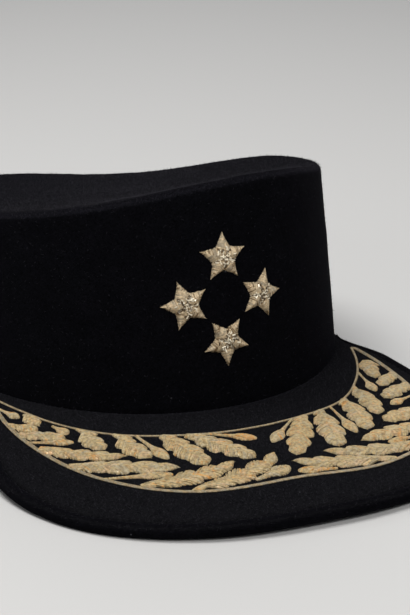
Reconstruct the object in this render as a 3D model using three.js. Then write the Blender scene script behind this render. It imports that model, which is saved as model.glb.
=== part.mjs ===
// A peaked felt cap: an oval drum crown, an arched peak with a rolled edge, gold oak leaves
// between two border cords on the peak, and four padded stars on the crown's front.
// Millimetres. The front faces -Y and +Z is up. The model is made in the hat's own frame,
// with z = 0 where the peak's upper face meets the crown's front, and then laid on its rest plane.
import * as THREE from 'three';

// Crown
const HALF_WIDTH = 83.4;
const HALF_LENGTH = 103.8;
const FELT = 2.5;
const WALL_LEAN = 0.07;
const WALL_BELOW_PEAK = 4;
const RIM_ROUND = 3.2;
const RIM_MEAN = 66.6;
const TOP_SAG = 5;
const CROWN_SIDES = 64;

// Rings of the crown's mesh: shares of the way out over the top, degrees round the rim,
// and shares of the way up the wall.
const TOP_SHARES = [0.3, 0.55, 0.75, 0.9];
const RIM_TURNS = [90, 65, 40, 18];
const INNER_RIM_TURNS = [45, 90];
const WALL_SHARES = [0, 0.33, 0.66, 1];

// The rim's height round the crown, as waves added to its mean. The front stands higher than the back,
// and the soft felt stands a little higher on one side than on the other.
const RIM_WAVES = [
  { turns: 1, front: 14.3, side: 1.4 },
  { turns: 2, front: 0.8, side: 2.1 },
  { turns: 3, front: 0.5, side: -1 },
  { turns: 4, front: 0.7, side: 0.9 },
];

// Peak. It is sewn on a little askew, by the turn in degrees.
const PEAK_SLOPE = 6.3;
const PEAK_TURN = -2;
const PEAK_ARCH = 0.00064;
const PEAK_THICK = 3.2;
const PEAK_END_ANGLE = 64;
const PEAK_SECTION_COUNT = 44;
const PEAK_CROSS_POINTS = 7;
const EDGE_ROLL_RADIUS = 2.2;
const EDGE_ROLL_SIDES = 8;
const EDGE_LOOK_ANGLE = 0.01;
const SEAT_GAP = 0.3;

// Distances out from the crown's foot to the two border cords and to the peak's crease,
// at equal steps of angle from the front. The cords are laid by hand, so each has its own
// reach on the two sides, and they end where they meet.
const SECTION_STEP = 12;
const PEAK_SECTIONS = [
  { angle: 0, innerLeft: 19.8, innerRight: 19.8, outerLeft: 59.8, outerRight: 59.8, crease: 80.5 },
  { angle: 12, innerLeft: 18.9, innerRight: 19.7, outerLeft: 60.6, outerRight: 64.6, crease: 80.5 },
  { angle: 24, innerLeft: 17.5, innerRight: 19.6, outerLeft: 49.8, outerRight: 59, crease: 73 },
  { angle: 36, innerLeft: 13.3, innerRight: 14.6, outerLeft: 33, outerRight: 40, crease: 53.5 },
  { angle: 48, innerLeft: 7.8, innerRight: 9.3, outerLeft: 17, outerRight: 19, crease: 24 },
  { angle: 60, innerLeft: 4, innerRight: 4.2, outerLeft: 2.5, outerRight: 2, crease: 6 },
  { angle: 72, innerLeft: 2.5, innerRight: 2.5, outerLeft: 0, outerRight: 0, crease: 3 },
];

// Border cords
const BORDER_END_ANGLE = 55;
const INNER_CORD_RADIUS = 0.55;
const OUTER_CORD_RADIUS = 1;
const CORD_SIDES = 6;
const CORD_STEPS = 56;

// Stars
const STAR_RADIUS = 9.4;
const STAR_NOTCH = 4.4;
const STAR_RISE = 1.7;
const STAR_SIDE = 0.6;
const STAR_SHOULDER = 0.5;
const STAR_CORNERS = 10;
const STARS = [
  { name: 'star_top', across: 0.4, height: 55.5, turn: 90 },
  { name: 'star_left', across: -15.3, height: 39.4, turn: 180 },
  { name: 'star_right', across: 16.1, height: 39.8, turn: 0 },
  { name: 'star_bottom', across: 0, height: 24.6, turn: 270 },
];

// Embroidered leaves and buds in plan, each from its foot to its tip. They are laid by hand,
// so the two sides are not quite alike. A leaf has pairs of lobes and a foot that is a share
// of its width, and a bud is a round drop on a thin stem. Bow bends the midrib outwards.
// The -X side's rows are written as their mirror image.
const LEAF_RISE = 1.4;
const LEAF_SIDE = 0.6;
const STATIONS_PER_LOBE = 3;
const LOBE_SWEEP = 0.45;
const SINUS_WIDTH = 0.82;
const FULL_RISE_REACH = 2;
const LEAF_FULLEST = 0.38;
const LEAF_TIP = 0.3;
const STEM_WIDTH = 1;
const STEM_SHARE = 0.42;
const DROP_STEPS = 6;
const DROP_FULLEST = 0.8;
const DROP_TIP = 0.12;
const RIGHT_BRANCH = [
  { fromX: 70.4, fromY: -81, toX: 64.9, toY: -97, width: 6.2, lobes: 2, foot: 0.55, bow: 0 },
  { fromX: 60.4, fromY: -94.8, toX: 58.3, toY: -108.4, width: 4.3, lobes: 0, foot: 0, bow: 0 },
  { fromX: 52.2, fromY: -106.1, toX: 48.3, toY: -128.4, width: 8.2, lobes: 3, foot: 0.5, bow: 0.4 },
  { fromX: 42.2, fromY: -115.4, toX: 37.6, toY: -139.2, width: 8.8, lobes: 3, foot: 0.58, bow: 0.5 },
  { fromX: 33.7, fromY: -121.2, toX: 32.3, toY: -140, width: 4.6, lobes: 0, foot: 0, bow: 0 },
  { fromX: 27.8, fromY: -122.4, toX: 20.6, toY: -148.4, width: 9.9, lobes: 3, foot: 0.58, bow: 0 },
  { fromX: 19, fromY: -124.1, toX: 3.3, toY: -149, width: 9.2, lobes: 4, foot: 0.58, bow: 0 },
  { fromX: 12.5, fromY: -125, toX: 0.3, toY: -136.7, width: 4.8, lobes: 0, foot: 0, bow: 0 },
  { fromX: 72.3, fromY: -95.5, toX: 62.2, toY: -104.4, width: 5.5, lobes: 2, foot: 0.75, bow: 0 },
  { fromX: 71.3, fromY: -106.5, toX: 57.6, toY: -115.2, width: 7, lobes: 3, foot: 0.75, bow: 0 },
  { fromX: 68.2, fromY: -116, toX: 57.4, toY: -121, width: 4, lobes: 0, foot: 0, bow: 0 },
  { fromX: 64.2, fromY: -127.8, toX: 46.4, toY: -133.9, width: 8.2, lobes: 3, foot: 0.75, bow: 0 },
  { fromX: 57.5, fromY: -140.8, toX: 29.8, toY: -146.2, width: 8.6, lobes: 4, foot: 0.7, bow: 0 },
  { fromX: 53.5, fromY: -148.6, toX: 38.8, toY: -150.4, width: 3.2, lobes: 0, foot: 0, bow: 0 },
  { fromX: 45.8, fromY: -154.9, toX: 13.2, toY: -149.6, width: 8.2, lobes: 4, foot: 0.6, bow: 2 },
  { fromX: 28.5, fromY: -161.8, toX: -0.5, toY: -152.2, width: 8.4, lobes: 4, foot: 0.5, bow: 1.4 },
  { fromX: 11.5, fromY: -163, toX: -1.8, toY: -159.6, width: 4.2, lobes: 0, foot: 0, bow: 0 },
];
const LEFT_BRANCH = [
  { fromX: 75.9, fromY: -67.6, toX: 72.5, toY: -77, width: 3.4, lobes: 0, foot: 0, bow: 0 },
  { fromX: 70.6, fromY: -75.9, toX: 68.2, toY: -86.9, width: 4.3, lobes: 2, foot: 0.5, bow: 0 },
  { fromX: 64.2, fromY: -89.6, toX: 61.4, toY: -98.2, width: 4.2, lobes: 0, foot: 0, bow: 0 },
  { fromX: 57.1, fromY: -100.2, toX: 54.5, toY: -116.2, width: 6.8, lobes: 3, foot: 0.58, bow: 0.4 },
  { fromX: 47, fromY: -110.7, toX: 42.7, toY: -129.6, width: 7.8, lobes: 3, foot: 0.58, bow: 0.6 },
  { fromX: 40.3, fromY: -115.6, toX: 37.7, toY: -132.9, width: 4.2, lobes: 0, foot: 0, bow: 0 },
  { fromX: 32, fromY: -118.8, toX: 27.2, toY: -143, width: 9.4, lobes: 3, foot: 0.6, bow: 0 },
  { fromX: 22.6, fromY: -122.9, toX: 9.9, toY: -145.2, width: 9.4, lobes: 4, foot: 0.6, bow: 0 },
  { fromX: 15.2, fromY: -123.2, toX: 3.1, toY: -131.8, width: 4.2, lobes: 0, foot: 0, bow: 0 },
  { fromX: 75.1, fromY: -82.8, toX: 69.5, toY: -90.4, width: 4.6, lobes: 2, foot: 0.7, bow: 0 },
  { fromX: 74.2, fromY: -91.2, toX: 62.8, toY: -100.7, width: 5.4, lobes: 3, foot: 0.7, bow: 0 },
  { fromX: 74, fromY: -97.9, toX: 61.8, toY: -105.2, width: 3.5, lobes: 0, foot: 0, bow: 0 },
  { fromX: 70.4, fromY: -107.8, toX: 49.3, toY: -124.4, width: 6.2, lobes: 4, foot: 0.75, bow: 1.3 },
  { fromX: 65.8, fromY: -123.2, toX: 36.2, toY: -140.4, width: 8.4, lobes: 4, foot: 0.5, bow: 0.5 },
  { fromX: 60, fromY: -136.2, toX: 40.6, toY: -143.8, width: 3.6, lobes: 0, foot: 0, bow: 0 },
  { fromX: 49.3, fromY: -147.4, toX: 17.5, toY: -145.2, width: 9, lobes: 4, foot: 0.5, bow: 2 },
  { fromX: 35.2, fromY: -157, toX: 1.6, toY: -144.6, width: 8.6, lobes: 4, foot: 0.35, bow: 3 },
  { fromX: 17.2, fromY: -159.6, toX: 2.8, toY: -155.8, width: 5, lobes: 0, foot: 0, bow: 0 },
];

const FELT_BLACK = new THREE.MeshStandardMaterial({ color: 0x0c0d14, roughness: 0.95, metalness: 0 });
const GOLD_THREAD = new THREE.MeshStandardMaterial({ color: 0xb59a6a, roughness: 0.55, metalness: 0.2 });

const rad = THREE.MathUtils.degToRad;

// Height of the crown's upper face. share is 0 at its middle and 1 at its rim.
function crownTop(share, angle) {
  let height = RIM_MEAN - TOP_SAG * (1 - share * share);
  RIM_WAVES.forEach(({ turns, front, side }) => {
    height += share ** turns * (front * Math.cos(turns * angle) + side * Math.sin(turns * angle));
  });
  return height;
}

// A point on the crown's oval, drawn in by inset. Angle 0 is the front and runs towards +X.
function ovalPoint(angle, inset, z) {
  const x = (HALF_WIDTH - inset) * Math.sin(angle);
  const y = -(HALF_LENGTH - inset) * Math.cos(angle);
  return new THREE.Vector3(x, y, z);
}

function ovalNormal(angle) {
  return new THREE.Vector3(Math.sin(angle) / HALF_WIDTH, -Math.cos(angle) / HALF_LENGTH, 0).normalize();
}

function wallInset(z) {
  return WALL_LEAN * Math.max(z, 0);
}

// Upper face of the peak: straight and falling forwards along its middle, arched across.
function peakTop(x, y) {
  return -Math.tan(rad(PEAK_SLOPE)) * (-y - HALF_LENGTH) - PEAK_ARCH * x * x;
}

// A column of the peak's table at any angle, by a smooth curve through its rows.
function peakReach(column, angle) {
  const place = Math.abs(THREE.MathUtils.radToDeg(angle)) / SECTION_STEP;
  const row = Math.min(Math.floor(place), PEAK_SECTIONS.length - 2);
  const at = (i) => PEAK_SECTIONS[Math.min(Math.abs(i), PEAK_SECTIONS.length - 1)][column];
  const t = place - row;
  const before = (at(row + 1) - at(row - 1)) / 2;
  const after = (at(row + 2) - at(row)) / 2;
  const t2 = t * t;
  const t3 = t2 * t;
  const start = at(row) * (2 * t3 - 3 * t2 + 1) + before * (t3 - 2 * t2 + t);
  return start + at(row + 1) * (3 * t2 - 2 * t3) + after * (t3 - t2);
}

// A point at a distance out from the crown's foot, lifted off the peak's upper face.
function peakPoint(angle, reach, lift) {
  const seat = angle + rad(PEAK_TURN);
  const point = ovalPoint(seat, 0, 0).addScaledVector(ovalNormal(seat), reach);
  return point.setZ(peakTop(point.x, point.y) + lift);
}

// Equal steps from first to last, both included.
function steps(first, last, count) {
  return Array.from({ length: count + 1 }, (_, i) => first + ((last - first) * i) / count);
}

// A closed solid through rings of equal length, with a fan over each end ring.
function loft(rings) {
  const size = rings[0].length;
  const points = rings.flat();
  const faces = [];
  for (let r = 0; r + 1 < rings.length; r += 1) {
    for (let i = 0; i < size; i += 1) {
      const a = r * size + i;
      const b = r * size + ((i + 1) % size);
      faces.push(a, b, a + size, b, b + size, a + size);
    }
  }
  for (const end of [0, rings.length - 1]) {
    const middle = new THREE.Vector3();
    rings[end].forEach((point) => middle.addScaledVector(point, 1 / size));
    points.push(middle);
    for (let i = 0; i < size; i += 1) {
      const a = end * size + i;
      const b = end * size + ((i + 1) % size);
      faces.push(...(end === 0 ? [b, a, points.length - 1] : [a, b, points.length - 1]));
    }
  }
  if (signedVolume(points, faces) < 0) {
    faces.reverse();
  }
  const geometry = new THREE.BufferGeometry().setFromPoints(points);
  geometry.setIndex(faces);
  geometry.computeVertexNormals();
  return geometry;
}

function signedVolume(points, faces) {
  let volume = 0;
  for (let f = 0; f < faces.length; f += 3) {
    const [a, b, c] = [points[faces[f]], points[faces[f + 1]], points[faces[f + 2]]];
    volume += a.dot(new THREE.Vector3().crossVectors(b, c)) / 6;
  }
  return volume;
}

// One ring of the crown's upper face, or of its underside when drop is the felt's thickness.
function topRing(angles, share, drop) {
  return angles.map((angle) => {
    const edge = ovalPoint(angle, RIM_ROUND + wallInset(crownTop(1, angle)), 0).multiplyScalar(share);
    return edge.setZ(crownTop(share, angle) - drop);
  });
}

// One ring on the quarter round between wall and top. turn is 0 at the wall and 90 at the top.
function rimRing(angles, turn, thickness) {
  const round = RIM_ROUND - thickness;
  return angles.map((angle) => {
    const centre = crownTop(1, angle) - RIM_ROUND;
    const inset = wallInset(centre) + thickness + round * (1 - Math.cos(rad(turn)));
    return ovalPoint(angle, inset, centre + round * Math.sin(rad(turn)));
  });
}

// One ring of the wall, at a share of its height from the foot to the start of the rim.
function wallRing(angles, share, thickness) {
  return angles.map((angle) => {
    const head = crownTop(1, angle) - RIM_ROUND;
    const z = THREE.MathUtils.lerp(-WALL_BELOW_PEAK, head, share);
    return ovalPoint(angle, wallInset(z) + thickness, z);
  });
}

function makeCrown() {
  const angles = steps(0, 2 * Math.PI, CROWN_SIDES).slice(0, -1);
  return loft([
    ...TOP_SHARES.map((share) => topRing(angles, share, 0)),
    ...RIM_TURNS.map((turn) => rimRing(angles, turn, 0)),
    ...WALL_SHARES.toReversed().map((share) => wallRing(angles, share, 0)),
    ...WALL_SHARES.map((share) => wallRing(angles, share, FELT)),
    ...INNER_RIM_TURNS.map((turn) => rimRing(angles, turn, FELT)),
    ...TOP_SHARES.toReversed().map((share) => topRing(angles, share, FELT)),
  ]);
}

// The peak's plate: slices from its end on one side to its end on the other.
function makePeak() {
  const end = rad(PEAK_END_ANGLE);
  const across = steps(0, 1, PEAK_CROSS_POINTS - 1);
  const slices = steps(-end, end, PEAK_SECTION_COUNT).map((angle) => {
    const crease = peakReach('crease', angle);
    const reaches = across.map((share) => THREE.MathUtils.lerp(SEAT_GAP, crease, share));
    const upper = reaches.map((reach) => peakPoint(angle, reach, 0));
    const lower = reaches.map((reach) => peakPoint(angle, reach, -PEAK_THICK));
    return [...upper, ...lower.reverse()];
  });
  return loft(slices);
}

// A round cord through points on the peak.
function makeCord(points, radius, sides, count) {
  const outline = new THREE.Shape();
  steps(0, 2 * Math.PI, sides).slice(0, -1).forEach((angle, i) => {
    const place = [radius * Math.cos(angle), radius * Math.sin(angle)];
    if (i === 0) {
      outline.moveTo(...place);
    } else {
      outline.lineTo(...place);
    }
  });
  const extrudePath = new THREE.CatmullRomCurve3(points);
  return new THREE.ExtrudeGeometry(outline, { steps: count, extrudePath, bevelEnabled: false });
}

function borderPath(column, radius) {
  const end = rad(BORDER_END_ANGLE);
  return steps(-end, end, CORD_STEPS).map((angle) => {
    const side = angle < 0 ? 'Left' : 'Right';
    return peakPoint(angle, peakReach(column + side, angle), SEAT_GAP + radius);
  });
}

function creasePoint(angle) {
  return peakPoint(angle, peakReach('crease', angle), 0);
}

// The rolled edge hugs the plate's rim all the way round.
function edgePath() {
  const end = rad(PEAK_END_ANGLE);
  const out = SEAT_GAP + EDGE_ROLL_RADIUS;
  return steps(-end, end, CORD_STEPS).map((angle) => {
    const along = creasePoint(angle + EDGE_LOOK_ANGLE).sub(creasePoint(angle - EDGE_LOOK_ANGLE));
    along.setZ(0).normalize();
    const point = creasePoint(angle);
    point.x += out * along.y;
    point.y -= out * along.x;
    return point.setZ(peakTop(point.x, point.y) - PEAK_THICK / 2);
  });
}

// A point on the crown's front, across and up the wall, lifted off the felt.
function frontPoint(across, height, lift) {
  const angle = across / HALF_WIDTH;
  return ovalPoint(angle, wallInset(height), height).addScaledVector(ovalNormal(angle), lift);
}

// A five-pointed star whose rays rise to a ridge, following the crown's curve.
function makeStar({ across, height, turn }) {
  const corners = steps(0, STAR_CORNERS - 1, STAR_CORNERS - 1);
  const ring = (scale, lift, notchDrop) => corners.map((i) => {
    const notch = i % 2 === 1;
    const radius = scale * (notch ? STAR_NOTCH : STAR_RADIUS);
    const angle = rad(turn + (360 / STAR_CORNERS) * i);
    const rise = notch ? lift - notchDrop : lift;
    return frontPoint(across + radius * Math.cos(angle), height + radius * Math.sin(angle), SEAT_GAP + rise);
  });
  const ridgeDrop = STAR_RISE - STAR_SIDE;
  return loft([
    ring(STAR_SHOULDER, 0, 0),
    ring(1, 0, 0),
    ring(1, STAR_SIDE, 0),
    ring(STAR_SHOULDER, STAR_RISE, ridgeDrop / 2),
  ]);
}

// Width of a leaf's plain outline, as a share of its full width.
function leafOutline(at, foot) {
  if (at < LEAF_FULLEST) {
    return THREE.MathUtils.lerp(foot, 1, Math.sin((Math.PI / 2) * (at / LEAF_FULLEST)));
  }
  const past = (at - LEAF_FULLEST) / (1 - LEAF_FULLEST);
  return THREE.MathUtils.lerp(LEAF_TIP, 1, Math.cos((Math.PI / 2) * past));
}

// Half width of a leaf or bud at its stations from foot to tip, as shares of its full width.
function leafStations({ lobes, foot }) {
  if (lobes === 0) {
    const drop = steps(STEM_SHARE, 1, DROP_STEPS).map((at) => {
      const swell = Math.sin(Math.PI * ((at - STEM_SHARE) / (1 - STEM_SHARE)) ** DROP_FULLEST);
      return { at, half: Math.max(swell / 2, DROP_TIP), sweep: 0 };
    });
    return [{ at: 0, half: 0, sweep: 0 }, ...drop];
  }
  const count = STATIONS_PER_LOBE * lobes;
  const inner = steps(1, count - 1, count - 2).map((i) => {
    const at = i / count;
    const sinus = i % STATIONS_PER_LOBE === 0;
    const half = ((sinus ? SINUS_WIDTH : 1) * leafOutline(at, foot)) / 2;
    return { at, half, sweep: sinus ? 0 : LOBE_SWEEP / count };
  });
  return [{ at: 0, half: foot / 2, sweep: 0 }, ...inner, { at: 1, half: LEAF_TIP / 2, sweep: 0 }];
}

// A padded leaf lying on the peak. side is 1 for the +X branch and -1 for the other.
function makeLeaf(row, side) {
  const foot = new THREE.Vector2(row.fromX * side, row.fromY);
  const tip = new THREE.Vector2(row.toX * side, row.toY);
  const length = foot.distanceTo(tip);
  const along = tip.clone().sub(foot).normalize();
  const out = new THREE.Vector2(-along.y, along.x).multiplyScalar(side);
  const put = (at, offset, lift) => {
    const place = foot.clone().addScaledVector(along, at * length);
    place.addScaledVector(out, offset + row.bow * 4 * at * (1 - at));
    return new THREE.Vector3(place.x, place.y, peakTop(place.x, place.y) + SEAT_GAP + lift);
  };
  return loft(leafStations(row).map(({ at, half, sweep }) => {
    const reach = Math.max(half * row.width, STEM_WIDTH / 2);
    const rise = THREE.MathUtils.lerp(LEAF_SIDE, LEAF_RISE, Math.min(1, reach / FULL_RISE_REACH));
    const edge = Math.min(at + sweep, 1);
    return [
      put(edge, reach, 0),
      put(edge, reach, LEAF_SIDE),
      put(at, 0, rise),
      put(edge, -reach, LEAF_SIDE),
      put(edge, -reach, 0),
    ];
  }));
}

// Backward lean at which the peak's edge and the back of the crown's foot both touch the ground.
function restLean() {
  const falls = edgePath().map((point) => {
    const low = point.z - EDGE_ROLL_RADIUS;
    return Math.atan2(-WALL_BELOW_PEAK - low, HALF_LENGTH - point.y);
  });
  return Math.max(...falls);
}

const cap = new THREE.Group();

function addPiece(name, geometry, material) {
  const piece = new THREE.Mesh(geometry, material);
  piece.name = name;
  cap.add(piece);
}

addPiece('crown', makeCrown(), FELT_BLACK);
addPiece('peak', makePeak(), FELT_BLACK);
addPiece('peak_edge', makeCord(edgePath(), EDGE_ROLL_RADIUS, EDGE_ROLL_SIDES, CORD_STEPS), FELT_BLACK);
const innerPath = borderPath('inner', INNER_CORD_RADIUS);
addPiece('border_inner', makeCord(innerPath, INNER_CORD_RADIUS, CORD_SIDES, CORD_STEPS), GOLD_THREAD);
const outerPath = borderPath('outer', OUTER_CORD_RADIUS);
addPiece('border_outer', makeCord(outerPath, OUTER_CORD_RADIUS, CORD_SIDES, CORD_STEPS), GOLD_THREAD);
STARS.forEach((star) => addPiece(star.name, makeStar(star), GOLD_THREAD));
RIGHT_BRANCH.forEach((row, i) => addPiece(`leaf_right_${i + 1}`, makeLeaf(row, 1), GOLD_THREAD));
LEFT_BRANCH.forEach((row, i) => addPiece(`leaf_left_${i + 1}`, makeLeaf(row, -1), GOLD_THREAD));

// The cap leans back on the peak's edge and the crown's back, with its box's bottom centre at the origin.
cap.rotation.x = -restLean();
cap.updateMatrixWorld(true);
const box = new THREE.Box3().setFromObject(cap, true);
const middle = box.getCenter(new THREE.Vector3());
cap.position.set(-middle.x, -middle.y, -box.min.z);

export default cap;
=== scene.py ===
import math
import random
from dataclasses import dataclass

import bmesh
import bpy
import numpy as np
from mathutils import Matrix, Vector, noise
from mathutils.bvhtree import BVHTree


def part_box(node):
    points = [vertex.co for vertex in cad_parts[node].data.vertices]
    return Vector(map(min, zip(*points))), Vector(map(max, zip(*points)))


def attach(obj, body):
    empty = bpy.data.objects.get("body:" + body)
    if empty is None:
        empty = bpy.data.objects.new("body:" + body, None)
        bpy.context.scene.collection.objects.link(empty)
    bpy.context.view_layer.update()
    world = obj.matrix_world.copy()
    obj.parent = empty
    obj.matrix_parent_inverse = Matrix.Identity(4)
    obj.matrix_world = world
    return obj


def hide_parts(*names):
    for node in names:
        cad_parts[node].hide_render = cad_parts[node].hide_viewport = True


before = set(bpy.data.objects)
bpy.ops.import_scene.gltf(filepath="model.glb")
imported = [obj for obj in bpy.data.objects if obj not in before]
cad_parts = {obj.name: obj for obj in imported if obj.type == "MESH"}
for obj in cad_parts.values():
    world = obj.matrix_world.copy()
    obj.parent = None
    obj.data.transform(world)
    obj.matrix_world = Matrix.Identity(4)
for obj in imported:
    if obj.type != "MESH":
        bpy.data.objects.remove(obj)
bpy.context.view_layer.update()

MM = 0.001
UP = Vector((0, 0, 1))
SEED = 11

# The cap's own frame leans back on the peak's edge and the crown's back
CAP_LEAN = math.radians(2.0693)
CAP_SHIFT = Vector((3.5, 42.9, 7.75)) * MM
CAP_PLACE = Matrix.Translation(CAP_SHIFT) @ Matrix.Rotation(-CAP_LEAN, 4, "X")
CAP_OWN = CAP_PLACE.inverted()
CROWN_HALF_WIDTH = 83.4 * MM
CROWN_HALF_LENGTH = 103.8 * MM
PEAK_TURN = math.radians(-2)

# Camera, in the cap's own frame
VIEW_TURN = math.radians(-24.16)
VIEW_HEIGHT = math.radians(15.67)
VIEW_ROLL = math.radians(-1.82)
VIEW_TARGET = Vector((-38.81, -169.91, 59.3)) * MM
VIEW_DISTANCE = 536.17 * MM
LENS = 100
SENSOR = 36
NEAREST_SEEN = 10 * MM

# Studio: each light has a place, an aim, a size and a power
LIGHTS = {
    "overhead": ((-0.35, 0.1, 1.3), (0, 0, 0), 0.8, 15),
    "front": ((0.15, -1.35, 1.3), (0, 0, 0.03), 0.5, 14),
    "side": ((-1.2, -0.9, 0.7), (0, 0, 0.03), 0.6, 3),
    "back": ((0.5, 1.4, 1.1), (0, 0, 0.03), 0.8, 6),
}
SKY_COLOUR = (0.8, 0.82, 0.86, 1)
SKY_STRENGTH = 0.3
FLOOR_REACH = 6
FLOOR_SHADER = {"Base Color": (0.5, 0.492, 0.478, 1), "Roughness": 0.8}

# Felt forms
MERGE_DISTANCE = 1e-6
JOIN_BEND = 0.9
JOIN_SKEW = 1.2
FELT_LEVELS = 2
FELT_DENTS = ((12 * MM, 0.2 * MM), (4 * MM, 0.08 * MM))
SEWN_DENT_SHARE = 0.4
SHARP_EDGE = math.radians(40)
SEWN_CREASE = 0.9
CROWN_FOOT = 5 * MM
SEAT_REACH = 2.5 * MM
SEAT_PUSH = 0.85 * MM
EDGE_SWELL = 0.5 * MM
RIM_PUSH = 0.4 * MM
RIM_FACING = 0.5
PEAK_END_TAPER = (math.radians(55), math.radians(64), 0.9)

# Nap of the felt, and the painted highlight on it
NAP_DENSITY = {"crown": 7.0e5, "peak": 7.0e5, "peak_edge": 5.0e5}
NAP_LENGTH = 0.85 * MM
NAP_THICKNESS = 0.05 * MM
FIBRE_SIDES = 3
FIBRE_TILT = ((0.5, 0, 0), (1.45, 0, 0))
FIBRE_TILT_SEED = 3
FIBRE_SIZE = (0.5, 1.4)
FIBRE_SIZE_SEED = 5
NAP_FLOOR = 1.2 * MM
SHOWN_SLOPE = 0.25
SHOWN_FACING = 0.4
TOP_SLOPE = 0.5
TOP_NAP = 1.0
WALL_NAP = 0.1
RIM_NAP = 1.2
# Painted highlight: paler felt on one slope of the crown's rim, over the peak's shown faces and on one slope
# of the roll
RIM_HIGHLIGHT = 0.65
RIM_SLOPE = 0.6
RIM_SPREAD = 0.3
PEAK_HIGHLIGHT = 0.5
ROLL_HIGHLIGHT = 0.35
ROLL_SLOPE = 0.7
ROLL_SPREAD = 0.15

# Felt finish
FELT_LOOKS = {
    "Deep": (0.0007, 0.0007, 0.001, 1),
    "Nap": (0.0054, 0.0052, 0.0068, 1),
    "Fleck": (0.05, 0.05, 0.055, 1),
    "Nap scale": 1300.0,
}
# Paler felt colours of the painted highlight
CROWN_HIGHLIGHT_COLOUR = (0.013, 0.0125, 0.0165, 1)
PEAK_HIGHLIGHT_COLOUR = (0.0145, 0.0145, 0.0152, 1)
FELT_BUMP = (0.5, 0.0004)
FELT_SHADER = {
    "Specular IOR Level": 0.01, "Sheen Weight": 0.014, "Sheen Roughness": 0.4,
    "Sheen Tint": (0.55, 0.53, 0.68, 1),
}
NAP_FIBRES = (0.35, 0.7)
MOTTLE_SCALE = 120.0
MOTTLING = (0.3, 0.7)
MOTTLED_COVER = (0.6, 1)
MOTTLED_ROUGHNESS = (0.88, 1.0)
FLECK_SCALE = 220.0
FLECK_EDGE = (0.05, 0.09)
FLECK_CHANCE = (0.975, 0.985)
FIBRE_SHADER = {"Base Color": (0.026, 0.0245, 0.03, 1), "Roughness": 0.85, "Specular IOR Level": 0.08}

# Metal thread finishes: the colours run from grey to copper with a thread's tint; on the satin and the cut
# purl the copper end is a dark painted shade
THREAD_LOOKS = {
    "bullion_purl": {
        "Grey": (0.48, 0.415, 0.28, 1), "Gold": (0.56, 0.43, 0.22, 1), "Rose": (0.65, 0.43, 0.25, 1),
        "Copper": (0.66, 0.33, 0.09, 1), "Pit": (0.15, 0.10, 0.045, 1),
        "Grain": 0.3, "Pitting": 0.64, "Smoothest": 0.32, "Roughest": 0.55,
    },
    "satin_gold": {
        "Grey": (0.45, 0.375, 0.265, 1), "Gold": (0.81, 0.645, 0.415, 1), "Rose": (0.76, 0.565, 0.345, 1),
        # The satin's dark end is painted shade for the valleys between the rays and the gaps between threads
        "Copper": (0.2, 0.125, 0.055, 1), "Pit": (0.22, 0.15, 0.075, 1),
        "Grain": 0.15, "Pitting": 0.4, "Smoothest": 0.28, "Roughest": 0.42,
    },
    "gimp_cord": {
        "Grey": (0.31, 0.275, 0.195, 1), "Gold": (0.42, 0.315, 0.17, 1), "Rose": (0.43, 0.295, 0.17, 1),
        "Copper": (0.38, 0.225, 0.08, 1), "Pit": (0.12, 0.08, 0.035, 1),
        "Grain": 0.3, "Pitting": 0.6, "Smoothest": 0.32, "Roughest": 0.55,
    },
    "cut_purl_silver": {
        "Grey": (1.0, 0.93, 0.76, 1), "Gold": (0.98, 0.88, 0.68, 1), "Rose": (0.9, 0.76, 0.54, 1),
        # The cut purl's dark end is painted shade: near-black chips among the bright ones
        "Copper": (0.05, 0.03, 0.014, 1), "Pit": (0.55, 0.44, 0.28, 1),
        "Grain": 0.1, "Pitting": 0.2, "Smoothest": 0.2, "Roughest": 0.35,
    },
}
THREAD_METAL = {"bullion_purl": 0.25, "satin_gold": 0.3, "gimp_cord": 0.2, "cut_purl_silver": 0.15}
THREAD_BUMP = (0.4, 0.0001)
COIL_LENGTH = 0.00003
SPECKLE_SCALE = 850.0
SPECKLING = (0.3, 0.7)
# Random dark specks of painted shade, standing in for the gaps of the coiled thread
SHADE_SPECK_SCALE = 1000.0
SHADE_SPECK_SPAN = (0.34, 0.58)
TARNISH_SCALE = 330.0
TARNISH = (0.5, 0.7)
MOST_TARNISH = 0.7
GOLD_TINTS = (0.1, 0.5)
COPPER_AND_SHADE_TINTS = (0.7, 1.0)


@dataclass
class Thread:
    """How a thread is laid. Its ragged ends are in steps along it, and its spread is in tint."""

    radius: float
    pitch: float
    slant: float
    ragged: float
    spread: float


@dataclass
class Cord:
    """A twisted cord: its strands, its width and height, a strand's radius and the length of a twist."""

    strands: int
    width: float
    height: float
    strand_radius: float
    twist: float


# Padded leaves and buds
STATION = 0.25 * MM
FEWEST_STATIONS = 12
EDGE_SEARCH = 0.3 * MM
EDGE_HALVINGS = 7
RAY_HEIGHT = 5 * MM
SOFT_REACH = 2.5
LOBE_SOFTNESS = 0.16 * MM
BUD_SOFTNESS = 0.9 * MM
LOBE_SPAN = 3.0 * MM
NOTCH_DEPTH = 2.6
MIDRIB_SOFTNESS = 3 * MM
LEAF_GROWTH = {"left": 0.5 * MM, "right": 0.2 * MM}
FULL_WIDTH = 6.5 * MM
THINNEST = 0.05 * MM
FOOT_FILL = 2.2 * MM
FOOT_LENGTH = 14 * MM
NEAR_BORDER = 6 * MM
LEAF_TIP_ROUND = 1.6 * MM
BUD_TIP_ROUND = 2.2 * MM
BLUNT_TIP = 0.1 * MM
BUD_STEM_SHARE = 0.5
BUD_STEM_WIDTH = 0.55
POINTED_TIP = 5.5 * MM
POINT_FULLNESS = 0.7
LEAF_RISE = 0.85 * MM
LEAF_BULGE = (2.4, 0.5)
LEAF_RISE_WIDTH = 4 * MM
LONGEST_STEM = 8 * MM
SHORTEST_STEM = 0.4 * MM
PAD_COLUMNS = 9
PAD_STATION = 0.4 * MM
FEWEST_PAD_STATIONS = 4
PAD_SINK = 0.2 * MM
LEAST_HALF = 1e-7
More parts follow.
